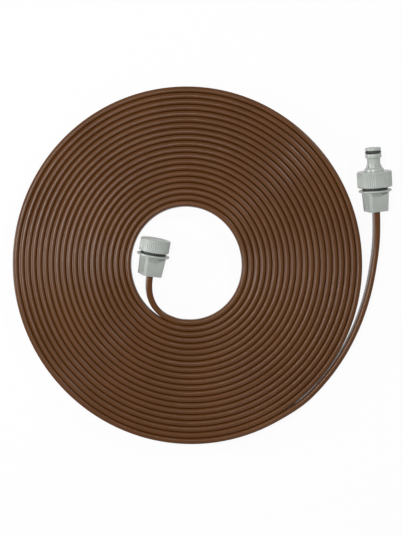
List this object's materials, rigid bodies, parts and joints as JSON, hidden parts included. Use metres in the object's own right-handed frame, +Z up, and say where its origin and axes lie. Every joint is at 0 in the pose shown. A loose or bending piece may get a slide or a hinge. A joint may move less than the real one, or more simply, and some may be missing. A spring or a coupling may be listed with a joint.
{
  "type": "soaker hose",
  "caption": "Flat multi-channel soaker hose wound on edge into a flat spiral coil, with a quick-connect inlet nose and a closed screw-capped end connector.",
  "frame": {"origin": "on the floor under the middle of the whole object, a little to the right of the coil's centre", "axes": "+Z up from the coil's face, +X to the right towards the inlet connector's side, +Y along the direction in which the inlet nose points"},
  "size_m": [0.376, 0.3552, 0.0365],
  "materials": {
    "hose": "satin brown soft plastic",
    "connector_plastic": "satin light grey moulded plastic",
    "jaw_plastic": "matt grey moulded plastic",
    "rubber": "matt black"
  },
  "bodies": {
    "root": {"hose_coil": "hose", "hose_inlet_lead": "hose", "hose_end_lead": "hose", "inlet_spigot": "connector_plastic", "inlet_shell": "connector_plastic", "inlet_jaw_left": "jaw_plastic", "inlet_jaw_right": "jaw_plastic", "inlet_seal": "rubber", "end_spigot": "connector_plastic", "end_shell": "connector_plastic", "end_jaw_left": "jaw_plastic", "end_jaw_right": "jaw_plastic", "end_seal": "rubber"},
    "nose": {"inlet_nose": "connector_plastic", "nose_o_ring": "rubber", "inlet_washer": "rubber"},
    "collar": {"inlet_collar": "connector_plastic"},
    "cap_washer": {"end_washer": "rubber"},
    "cap": {"end_cap": "connector_plastic"}
  },
  "joints": [
    {"name": "nose_travel", "type": "slide", "parent": "root", "child": "nose", "axis": [-0.0774, 0.9832, 0.165], "range_m": [0, 0.0075]},
    {"name": "collar_turn", "type": "hinge", "parent": "nose", "child": "collar", "pos_m": [0.17041, 0.08517, 0.01845], "axis": [-0.0774, 0.9832, 0.165], "range_deg": [0, 1080]},
    {"name": "cap_travel", "type": "slide", "parent": "root", "child": "cap_washer", "axis": [0.1805, 0.9737, 0.1392], "range_m": [0, 0.0075]},
    {"name": "cap_turn", "type": "hinge", "parent": "cap_washer", "child": "cap", "pos_m": [-0.04672, 0.01961, 0.0178], "axis": [0.1805, 0.9737, 0.1392], "range_deg": [0, 1080]}
  ],
  "couplings": [
    {"joint": "nose_travel", "follows": "collar_turn", "m_per_rad": 0.00039789},
    {"joint": "cap_travel", "follows": "cap_turn", "m_per_rad": 0.00039789}
  ]
}
